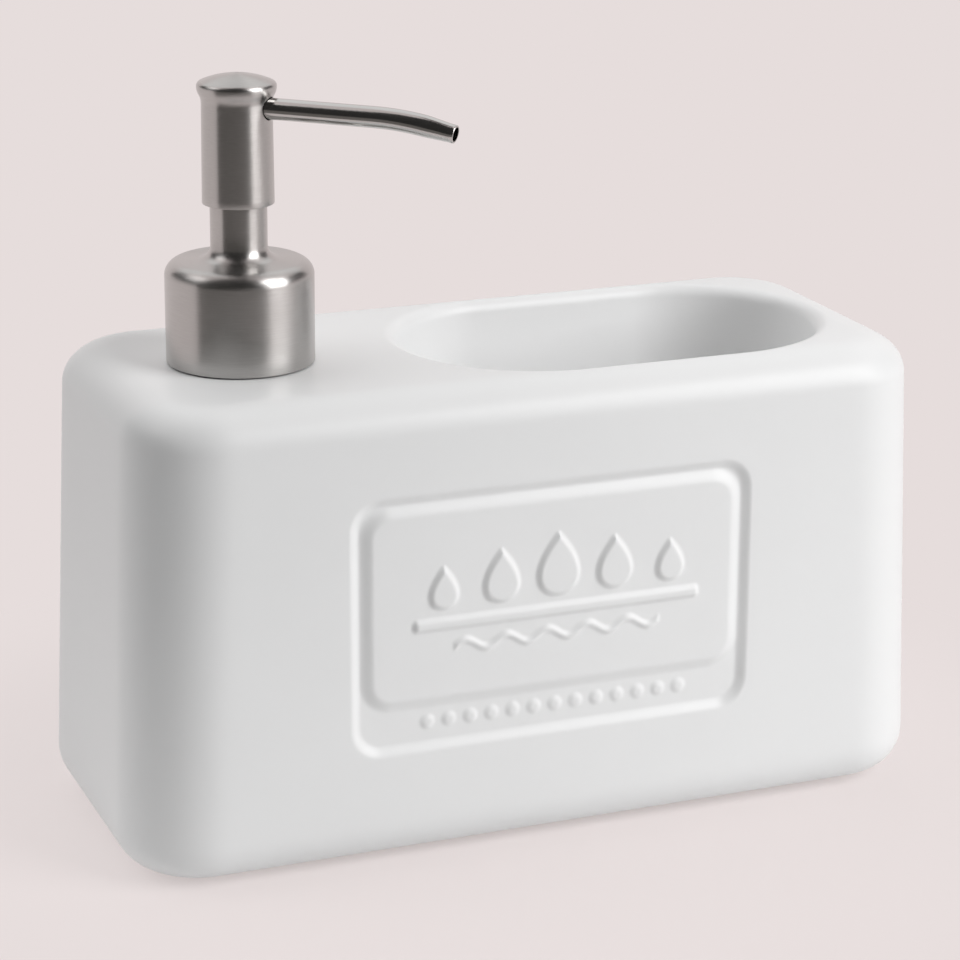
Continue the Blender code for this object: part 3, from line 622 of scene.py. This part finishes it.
room_rings = []
for turn in np.linspace(-math.pi / 2, 0, room_edge_steps + 1):
    inset = reservoir_wall + reservoir_edge * (1 - math.cos(turn))
    room_rings.append(body_ring(inset, reservoir_low + reservoir_edge * (1 + math.sin(turn))))
for turn in np.linspace(0, math.pi / 2, room_edge_steps + 1):
    inset = reservoir_wall + reservoir_edge * (1 - math.cos(turn))
    room_rings.append(body_ring(inset, reservoir_high - reservoir_edge * (1 - math.sin(turn))))
room = make_object("reservoir_room", np.vstack(room_rings), stack_faces(outer_count, len(room_rings)))
wall_rings = [well_ring(partition, height) for height in (0.0, body_height)]
cut_from(room, "reservoir_partition", np.vstack(wall_rings), stack_faces(well_sides, 2), (0, 0, 0))
far_corners = [
    (reservoir_end, -beyond_y), (beyond_x, -beyond_y), (beyond_x, beyond_y), (reservoir_end, beyond_y),
]
far_block = [(x, y, z) for z in (0.0, body_height) for x, y in far_corners]
cut_from(room, "beyond_reservoir", far_block, stack_faces(len(far_corners), 2), (0, 0, 0))
room_points = np.array([vert.co for vert in room.data.vertices]) / mm
room_faces = [tuple(face.vertices) for face in room.data.polygons]
bpy.data.objects.remove(room, do_unlink=True)
cut_from(ceramic_shell, "reservoir", room_points, room_faces, (0, 0, body_lift))
hole_rings = [disc_ring(neck_hole, height, neck_hole_sides) for height in (neck_hole_low, neck_hole_high)]
hole_faces = stack_faces(neck_hole_sides, 2)
cut_from(ceramic_shell, "neck_opening", np.vstack(hole_rings), hole_faces, (pump_x, 0, deck))
ceramic_shell.data.set_sharp_from_angle(angle=math.radians(50))

# Satin glaze over white earthenware: an even white with a broad soft sheen, a faint swell
# where the glaze ran, and a bare, chalky foot ring where it was wiped off for the kiln.
glaze_light, glaze_dark, bare_clay = "#F8F8F8", "#F4F4F4", "#D8CFC2"
glaze_cloud_size, glaze_swell_size, glaze_swell_depth = 38.0, 9.0, 0.06
bare_foot_height, bare_foot_dullness = 0.5, 0.4
glaze, tree = start_material("satin_glazed_ceramic")
space = add(tree, "ShaderNodeTexCoord")
cloud = add(tree, "ShaderNodeTexNoise", {"Scale": 1 / (glaze_cloud_size * mm), "Detail": 3.0}, {
    "Vector": space.outputs["Object"],
})
tone = add(tree, "ShaderNodeMix", {
    "data_type": "RGBA", 6: colour(glaze_dark), 7: colour(glaze_light),
}, {0: cloud.outputs["Fac"]})
level_of = add(tree, "ShaderNodeSeparateXYZ", None, {0: space.outputs["Object"]})
bare = add(tree, "ShaderNodeMapRange", {
    "From Min": 0.0, "From Max": bare_foot_height * mm, "To Min": 1.0, "To Max": 0.0,
}, {"Value": level_of.outputs["Z"]})
skin = add(tree, "ShaderNodeMix", {"data_type": "RGBA", 7: colour(bare_clay)}, {
    0: bare.outputs["Result"], 6: tone.outputs[2],
})
sheen = add(tree, "ShaderNodeMapRange", {"To Min": 0.36, "To Max": 0.44}, {"Value": cloud.outputs["Fac"]})
dullness = add(tree, "ShaderNodeMath", {"operation": "MULTIPLY_ADD", 1: bare_foot_dullness}, {
    0: bare.outputs["Result"], 2: sheen.outputs["Result"],
})
swell = add(tree, "ShaderNodeTexNoise", {"Scale": 1 / (glaze_swell_size * mm), "Detail": 1.0}, {
    "Vector": space.outputs["Object"],
})
surface = add(tree, "ShaderNodeBump", {"Strength": 0.25, "Distance": glaze_swell_depth * mm}, {
    "Height": swell.outputs["Fac"],
})
shader = add(tree, "ShaderNodeBsdfPrincipled", {"IOR": 1.5}, {
    "Base Color": skin.outputs[2], "Roughness": dullness.outputs[0], "Normal": surface.outputs[0],
})
add(tree, "ShaderNodeOutputMaterial", None, {"Surface": shader.outputs[0]})

coat(ceramic_shell, glaze)
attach(ceramic_shell, "root")
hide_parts("ceramic_body")


# Anti-slip pads and sealing rings. Cut and moulded from frosted silicone rubber, which is
# soft, slightly cloudy and dull, and picks up a fine dust.
silicone_dark, silicone_light = "#BFC4C8", "#D3D7DA"
dust_size = 1.2
silicone, tree = start_material("frosted_silicone_rubber")
space = add(tree, "ShaderNodeTexCoord")
dust = add(tree, "ShaderNodeTexNoise", {"Scale": 1 / (dust_size * mm), "Detail": 4.0}, {
    "Vector": space.outputs["Object"],
})
tone = add(tree, "ShaderNodeMix", {
    "data_type": "RGBA", 6: colour(silicone_dark), 7: colour(silicone_light),
}, {0: dust.outputs["Fac"]})
dullness = add(tree, "ShaderNodeMapRange", {"To Min": 0.48, "To Max": 0.62}, {"Value": dust.outputs["Fac"]})
shader = add(tree, "ShaderNodeBsdfPrincipled", {"IOR": 1.41, "Transmission Weight": 0.3}, {
    "Base Color": tone.outputs[2], "Roughness": dullness.outputs["Result"],
})
add(tree, "ShaderNodeOutputMaterial", None, {"Surface": shader.outputs[0]})

for name in ("foot_pad_1", "foot_pad_2", "foot_pad_3", "foot_pad_4", "insert_seal", "neck_gasket"):
    coat(nodes[name], silicone)


# Threaded neck, closure nut and the pump's inner mouldings. Injection moulded in white
# polypropylene, with a fine eroded mould texture that gives a soft, slightly waxy sheen.
plastic_dark, plastic_light = "#E4E4E1", "#ECECEA"
erosion_size, erosion_depth = 0.25, 0.01
white_plastic, tree = start_material("moulded_polypropylene")
space = add(tree, "ShaderNodeTexCoord")
erosion = add(tree, "ShaderNodeTexNoise", {"Scale": 1 / (erosion_size * mm), "Detail": 3.0}, {
    "Vector": space.outputs["Object"],
})
tone = add(tree, "ShaderNodeMix", {
    "data_type": "RGBA", 6: colour(plastic_dark), 7: colour(plastic_light),
}, {0: erosion.outputs["Fac"]})
dullness = add(tree, "ShaderNodeMapRange", {"To Min": 0.34, "To Max": 0.46}, {
    "Value": erosion.outputs["Fac"],
})
surface = add(tree, "ShaderNodeBump", {"Strength": 0.3, "Distance": erosion_depth * mm}, {
    "Height": erosion.outputs["Fac"],
})
shader = add(tree, "ShaderNodeBsdfPrincipled", {"IOR": 1.49}, {
    "Base Color": tone.outputs[2], "Roughness": dullness.outputs["Result"], "Normal": surface.outputs[0],
})
add(tree, "ShaderNodeOutputMaterial", None, {"Surface": shader.outputs[0]})

for name in (
    "neck_insert", "closure_cap", "pump_housing", "ball_cage", "stem_guide", "piston_rod", "pump_stem",
    "actuator_core",
):
    coat(nodes[name], white_plastic)


# Dip tube and piston seal. Extruded and moulded in natural polyethylene, which looks milky
# and waxy, with faint streaks along the way it was drawn.
natural_dark, natural_light = "#DDE0E0", "#E9ECEC"
streak_width, streak_length = 0.8, 20.0
clear_plastic, tree = start_material("natural_polyethylene")
space = add(tree, "ShaderNodeTexCoord")
draw = add(tree, "ShaderNodeMapping", {
    "Scale": (1 / (streak_width * mm), 1 / (streak_width * mm), 1 / (streak_length * mm)),
}, {"Vector": space.outputs["Object"]})
streak = add(tree, "ShaderNodeTexNoise", {"Scale": 1.0, "Detail": 2.0}, {"Vector": draw.outputs[0]})
tone = add(tree, "ShaderNodeMix", {
    "data_type": "RGBA", 6: colour(natural_dark), 7: colour(natural_light),
}, {0: streak.outputs["Fac"]})
dullness = add(tree, "ShaderNodeMapRange", {"To Min": 0.28, "To Max": 0.40}, {"Value": streak.outputs["Fac"]})
shader = add(tree, "ShaderNodeBsdfPrincipled", {"IOR": 1.51, "Transmission Weight": 0.35}, {
    "Base Color": tone.outputs[2], "Roughness": dullness.outputs["Result"],
})
add(tree, "ShaderNodeOutputMaterial", None, {"Surface": shader.outputs[0]})

for name in ("dip_tube", "piston_seal"):
    coat(nodes[name], clear_plastic)


# Valve ball and return spring. A ground ball, and a coil of hard drawn stainless wire with
# closed ends, which stands on the ball cage and is pressed together by the piston rod.
spring_low, spring_high = (corner[2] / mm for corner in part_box("return_spring"))
spring_wire, spring_radius, spring_curls = 0.9, 3.9, 9
spring_end_share, spring_end_gap = 0.12, 0.55
curl_points, wire_sides = 24, 12

# Bright stainless steel, whose fine draw marks and scratches break up its small highlights
wire_colour = "#C6C6C8"
scratch_size = 0.3
bright_steel, tree = start_material("drawn_stainless_wire")
space = add(tree, "ShaderNodeTexCoord")
scratch = add(tree, "ShaderNodeTexNoise", {"Scale": 1 / (scratch_size * mm), "Detail": 4.0}, {
    "Vector": space.outputs["Object"],
})
dullness = add(tree, "ShaderNodeMapRange", {"To Min": 0.18, "To Max": 0.30}, {
    "Value": scratch.outputs["Fac"],
})
shader = add(tree, "ShaderNodeBsdfPrincipled", {"Base Color": colour(wire_colour), "Metallic": 1.0}, {
    "Roughness": dullness.outputs["Result"],
})
add(tree, "ShaderNodeOutputMaterial", None, {"Surface": shader.outputs[0]})

coat(nodes["check_ball"], bright_steel)

coil_share = np.linspace(0, 1, spring_curls * curl_points + 1)
coil_climb = spring_high - spring_low - spring_wire
end_climb = (spring_wire + spring_end_gap) * spring_curls * spring_end_share
climb_shares = (0, spring_end_share, 1 - spring_end_share, 1)
climbs = (0, end_climb, coil_climb - end_climb, coil_climb)
coil_heights = spring_low + spring_wire / 2 + np.interp(coil_share, climb_shares, climbs)
wire_turn = full_turn(wire_sides)
coil_rings = []
for share, height in zip(coil_share, coil_heights):
    turn = math.tau * spring_curls * share
    reach = spring_radius + spring_wire / 2 * np.cos(wire_turn)
    coil_rings.append(np.column_stack((
        reach * math.cos(turn), reach * math.sin(turn), height + spring_wire / 2 * np.sin(wire_turn),
    )))
coil_faces = stack_faces(wire_sides, len(coil_rings))
spring = make_object("coiled_spring", np.vstack(coil_rings), coil_faces, (pump_x, 0, 0))
coat(spring, bright_steel)
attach(spring, "pump")
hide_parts("return_spring")
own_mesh(spring)


# Collar shell. Deep drawn from thin stainless sheet: sleeve, fillet, shoulder and skirt in
# one, then brushed on a lathe, so that the grain runs round it. The shoulder falls a little.
collar_radius, collar_edge, collar_edge_middle, collar_fall = 16.5, 3.4, 19.7, 4.0
sleeve_radius, sleeve_top, sleeve_fillet = 6.3, 38.8, 3.0
sheet_wall = 0.4
rim_round, rim_round_share = 0.2, 0.3
collar_gap = 0.3
turned_sides = 160


def arc(centre_r, centre_z, radius, start, end, steps):
    """Points of an arc in a turned profile, with angles in degrees from +r."""
    turn = np.radians(np.linspace(start, end, steps + 1))
    return [(centre_r + radius * math.cos(angle), centre_z + radius * math.sin(angle)) for angle in turn]


def straight(first, second, steps):
    """Points between two ends of a straight run, without the ends."""
    share = np.linspace(0, 1, steps + 1)[1:-1, None]
    return [tuple(point) for point in np.array(first) + (np.array(second) - np.array(first)) * share]


def sheet_sides(outer, wall):
    """A sheet's outer line, and the same line moved in by the wall."""
    line = np.array(outer)
    run = np.gradient(line, axis=0)
    run /= np.linalg.norm(run, axis=1)[:, None]
    inward = np.column_stack((run[:, 1], -run[:, 0]))
    return line, line + inward * wall


def round_corner(corner, way_in, way_out, radius):
    """Three points that break a corner by a small round."""
    middle = corner + way_in * radius * rim_round_share + way_out * radius * rim_round_share
    return [corner + way_in * radius, middle, corner + way_out * radius]


def sheet_profile(outer, wall, radius):
    """Closed profile of a sheet whose two cut rims are broken by a small round."""
    line, inner = sheet_sides(outer, wall)
    back = inner[::-1]
    start_run = (line[1] - line[0]) / np.linalg.norm(line[1] - line[0])
    end_run = (line[-1] - line[-2]) / np.linalg.norm(line[-1] - line[-2])
    start_across = (back[-1] - line[0]) / wall
    end_across = (back[0] - line[-1]) / wall
    *start_corner, start = round_corner(line[0], start_across, start_run, radius)
    closed = [start, *line[1:-1]]
    closed += round_corner(line[-1], -end_run, end_across, radius)
    closed += round_corner(back[0], -end_across, -end_run, radius)
    closed += list(back[1:-1])
    closed += round_corner(back[-1], start_run, -start_across, radius)
    return closed + start_corner


def turned_rings(profile):
    """A ring round the axis for each point of a turned profile."""
    return [disc_ring(radius, height, turned_sides) for radius, height in profile]


def loop_faces(count, rows):
    """Quads between rings of one count, and from the last ring back to the first."""
    last = (rows - 1) * count
    faces = band_faces(0, count, rows)
    for column in range(count):
        after = (column + 1) % count
        faces.append((last + column, last + after, after, column))
    return faces


edge_line = arc(collar_radius - collar_edge, collar_edge_middle, collar_edge, 90 - collar_fall, 0, steps=18)
fillet_line = arc(sleeve_radius + sleeve_fillet, 0.0, sleeve_fillet, 180, 270 - collar_fall, steps=14)
fall = (edge_line[0][0] - fillet_line[-1][0]) * math.tan(math.radians(collar_fall))
fillet_middle = edge_line[0][1] + fall - fillet_line[-1][1]
fillet_line = [(radius, fillet_middle + height) for radius, height in fillet_line]
collar_line = [(sleeve_radius, sleeve_top)]
collar_line += straight((sleeve_radius, sleeve_top), fillet_line[0], steps=4) + fillet_line
collar_line += straight(fillet_line[-1], edge_line[0], steps=4) + edge_line
collar_line += straight((collar_radius, collar_edge_middle), (collar_radius, collar_gap), steps=6)
collar_line += [(collar_radius, collar_gap)]
collar_rings = turned_rings(sheet_profile(collar_line, sheet_wall, rim_round))
collar_faces = loop_faces(turned_sides, len(collar_rings))
collar = make_object("brushed_collar", np.vstack(collar_rings), collar_faces, (pump_x, 0, deck), sharp=60)

# Brushed stainless steel: a plain grey metal whose fine scratches run round the axis, so
# that reflections stay narrow from side to side and smear up and down. The real grain is
# about 0.05 mm and is drawn four times as coarse to show at all.
steel_tone, steel_shade = "#C6C4C2", "#B1AFAD"
grain_width, grain_length, grain_depth = 0.2, 4.5, 0.008
brushed_steel, tree = start_material("brushed_stainless_steel")
space = add(tree, "ShaderNodeTexCoord")
level_part = add(tree, "ShaderNodeVectorMath", {"operation": "MULTIPLY", 1: (1, 1, 0)}, {
    0: space.outputs["Object"],
})
radius_of = add(tree, "ShaderNodeVectorMath", {"operation": "LENGTH"}, {0: level_part.outputs[0]})
heading = add(tree, "ShaderNodeVectorMath", {"operation": "NORMALIZE"}, {0: level_part.outputs[0]})
height_of = add(tree, "ShaderNodeSeparateXYZ", None, {0: space.outputs["Object"]})
along = add(tree, "ShaderNodeMath", {"operation": "ADD"}, {
    0: radius_of.outputs["Value"], 1: height_of.outputs["Z"],
})
lines = add(tree, "ShaderNodeMath", {"operation": "MULTIPLY", 1: 1 / (grain_width * mm)}, {
    0: along.outputs[0],
})
lift = add(tree, "ShaderNodeCombineXYZ", None, {"Z": lines.outputs[0]})
around = add(tree, "ShaderNodeVectorMath", {"operation": "SCALE", "Scale": collar_radius / grain_length}, {
    0: heading.outputs[0],
})
brush_space = add(tree, "ShaderNodeVectorMath", {"operation": "ADD"}, {
    0: around.outputs[0], 1: lift.outputs[0],
})
grain = add(tree, "ShaderNodeTexNoise", {"Scale": 1.0, "Detail": 4.0, "Roughness": 0.6}, {
    "Vector": brush_space.outputs[0],
})
tone = add(tree, "ShaderNodeMix", {
    "data_type": "RGBA", 6: colour(steel_shade), 7: colour(steel_tone),
}, {0: grain.outputs["Fac"]})
dullness = add(tree, "ShaderNodeMapRange", {"To Min": 0.24, "To Max": 0.40}, {"Value": grain.outputs["Fac"]})
surface = add(tree, "ShaderNodeBump", {"Strength": 0.5, "Distance": grain_depth * mm}, {
    "Height": grain.outputs["Fac"],
})
grain_run = add(tree, "ShaderNodeTangent", {"direction_type": "RADIAL", "axis": "Z"})
shader = add(tree, "ShaderNodeBsdfPrincipled", {
    "Metallic": 1.0, "Anisotropic": 0.7, "Anisotropic Rotation": 0.25,
}, {
    "Base Color": tone.outputs[2], "Roughness": dullness.outputs["Result"],
    "Normal": surface.outputs[0], "Tangent": grain_run.outputs[0],
})
add(tree, "ShaderNodeOutputMaterial", None, {"Surface": shader.outputs[0]})

coat(collar, brushed_steel)
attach(collar, "closure")
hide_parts("collar_shell")


# Head shell. A drawn steel cup over the plastic core, with a flared rim and a low dome,
# brushed round its axis like the collar and drilled for the nozzle.
head_foot, head_foot_radius = 35.7, 7.95
head_rim_middle, head_rim_radius, head_rim_round = 61.4, 8.72, 1.15
head_dome_start, head_dome_edge = 89.9, 67.0
head_flare, head_flare_turn = 3.6, 29.9
nozzle_height = 57.0
nozzle_heading = math.radians(-43)
nozzle_clearance = 2.58
drill_from, drill_to, drill_sides = 4.0, 12.0, 48

crown_middle = head_rim_radius - head_rim_round
crown_radius = crown_middle + head_rim_round * math.cos(math.radians(head_dome_edge))
dome_curve = crown_radius / math.cos(math.radians(head_dome_edge))
dome_middle = head_rim_middle + (head_rim_round - dome_curve) * math.sin(math.radians(head_dome_edge))
head_top = dome_middle + dome_curve
head_line = arc(0.0, dome_middle, dome_curve, head_dome_start, head_dome_edge, steps=12)[:-1]
head_line += arc(crown_middle, head_rim_middle, head_rim_round, head_dome_edge, 0, steps=12)[:-1]
head_line += arc(head_rim_radius - head_flare, head_rim_middle, head_flare, 0, -head_flare_turn, steps=8)
flare_end = head_rim_middle - 2 * head_flare * math.sin(math.radians(head_flare_turn))
flare_foot = head_rim_radius - 2 * head_flare * (1 - math.cos(math.radians(head_flare_turn)))
head_line += arc(flare_foot + head_flare, flare_end, head_flare, 180 - head_flare_turn, 180, steps=8)[1:]
head_line += straight(head_line[-1], (head_foot_radius, head_foot), steps=14)
head_line += [(head_foot_radius, head_foot)]
outer_line, inner_line = sheet_sides(head_line, sheet_wall)
upwards, inwards = np.array((0.0, 1.0)), np.array((-1.0, 0.0))
cup = [(0.0, head_top), *outer_line[1:-1]]
cup += round_corner(np.array((head_foot_radius, head_foot)), upwards, inwards, rim_round)
cup += [(head_foot_radius - sheet_wall + rim_round, head_foot)]
cup += [(head_foot_radius - sheet_wall, head_foot + rim_round)]
cup += [*inner_line[-2:0:-1], (0.0, head_top - sheet_wall)]
head_rings = turned_rings(cup)
head_faces = band_faces(0, turned_sides, len(head_rings))
head = make_object("brushed_head", np.vstack(head_rings), head_faces, (pump_x, 0, deck), sharp=60)

drill_turn = full_turn(drill_sides)
drill_side = nozzle_clearance * np.cos(drill_turn)
drill_height = nozzle_height + nozzle_clearance * np.sin(drill_turn)
drill_rings = [np.column_stack((
    reach * math.cos(nozzle_heading) - drill_side * math.sin(nozzle_heading),
    reach * math.sin(nozzle_heading) + drill_side * math.cos(nozzle_heading),
    drill_height,
)) for reach in (drill_from, drill_to)]
cut_from(head, "nozzle_hole", np.vstack(drill_rings), stack_faces(drill_sides, 2), (pump_x, 0, deck))
head.data.set_sharp_from_angle(angle=math.radians(40))
coat(head, brushed_steel)
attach(head, "head")
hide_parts("head_shell")


# Nozzle. A thin stainless tube pushed into the core, bent down a little near its end and
# swaged to a narrower mouth, then polished along its length.
nozzle_radius, nozzle_wall = 2.36, 0.4
nozzle_root, nozzle_bend_start = 3.0, 32.0
nozzle_bend_radius, nozzle_bend = 70.0, math.radians(10.5)
nozzle_tip, nozzle_swage, nozzle_mouth = 6.2, 8.0, 1.98
mouth_round = 0.1
root_points, bend_points, tip_points, tube_sides = 12, 12, 7, 48

path = [(reach, 0.0, 0.0) for reach in np.linspace(nozzle_root, nozzle_bend_start, root_points)]
for turn in np.linspace(0, nozzle_bend, bend_points + 1)[1:]:
    path.append((
        nozzle_bend_start + nozzle_bend_radius * math.sin(turn),
        -nozzle_bend_radius * (1 - math.cos(turn)), turn,
    ))
bend_end = path[-1]
for reach in np.linspace(0, nozzle_tip, tip_points + 1)[1:]:
    path.append((
        bend_end[0] + reach * math.cos(nozzle_bend), bend_end[1] - reach * math.sin(nozzle_bend), nozzle_bend,
    ))
path = np.array(path)
steps_along = np.hypot(*np.diff(path[:, :2], axis=0).T)
to_mouth = np.concatenate((np.cumsum(steps_along[::-1])[::-1], [0.0]))
outer_radii = nozzle_radius - (nozzle_radius - nozzle_mouth) * ramp(1 - to_mouth / nozzle_swage)


def tube_ring(spot, radius):
    """One ring of the tube, square to its centre line."""
    reach, height, turn = spot
    around = full_turn(tube_sides)
    return np.column_stack((
        reach + radius * np.sin(around) * math.sin(turn),
        radius * np.cos(around),
        height + radius * np.sin(around) * math.cos(turn),
    ))


tube_rings = [tube_ring(spot, radius) for spot, radius in zip(path, outer_radii)]
mouth = path[-1]
mouth_way = np.array((math.cos(nozzle_bend), -math.sin(nozzle_bend)))
tube_rings[-1] = tube_ring((*(mouth[:2] - mouth_way * mouth_round), nozzle_bend), outer_radii[-1])
tube_rings.append(tube_ring(mouth, outer_radii[-1] - mouth_round))
tube_rings.append(tube_ring(mouth, outer_radii[-1] - nozzle_wall + mouth_round))
tube_rings += [tube_ring(spot, radius - nozzle_wall) for spot, radius in zip(path[::-1], outer_radii[::-1])]
tube_faces = loop_faces(tube_sides, len(tube_rings))
nozzle_place = (pump_x, 0, deck + nozzle_height)
nozzle = make_object("polished_nozzle", np.vstack(tube_rings), tube_faces, nozzle_place, nozzle_heading, 45)

# Polished stainless steel: near mirror, with faint drawn lines along the tube. The lines
# are about 0.03 mm and are drawn ten times as coarse.
polish_tone, polish_shade = "#CAC9C7", "#BCBAB8"
drawn_width, drawn_length, drawn_depth = 0.3, 14.0, 0.006
polished_steel, tree = start_material("polished_stainless_tube")
space = add(tree, "ShaderNodeTexCoord")
drawn = add(tree, "ShaderNodeMapping", {
    "Scale": (1 / (drawn_length * mm), 1 / (drawn_width * mm), 1 / (drawn_width * mm)),
}, {"Vector": space.outputs["Object"]})
marks = add(tree, "ShaderNodeTexNoise", {"Scale": 1.0, "Detail": 3.0}, {"Vector": drawn.outputs[0]})
tone = add(tree, "ShaderNodeMix", {
    "data_type": "RGBA", 6: colour(polish_shade), 7: colour(polish_tone),
}, {0: marks.outputs["Fac"]})
dullness = add(tree, "ShaderNodeMapRange", {"To Min": 0.10, "To Max": 0.22}, {"Value": marks.outputs["Fac"]})
surface = add(tree, "ShaderNodeBump", {"Strength": 0.25, "Distance": drawn_depth * mm}, {
    "Height": marks.outputs["Fac"],
})
shader = add(tree, "ShaderNodeBsdfPrincipled", {"Metallic": 1.0}, {
    "Base Color": tone.outputs[2], "Roughness": dullness.outputs["Result"], "Normal": surface.outputs[0],
})
add(tree, "ShaderNodeOutputMaterial", None, {"Surface": shader.outputs[0]})

coat(nozzle, polished_steel)
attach(nozzle, "head")
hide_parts("nozzle_tube")


# Bring the scene up to date at the end
bpy.context.view_layer.update()
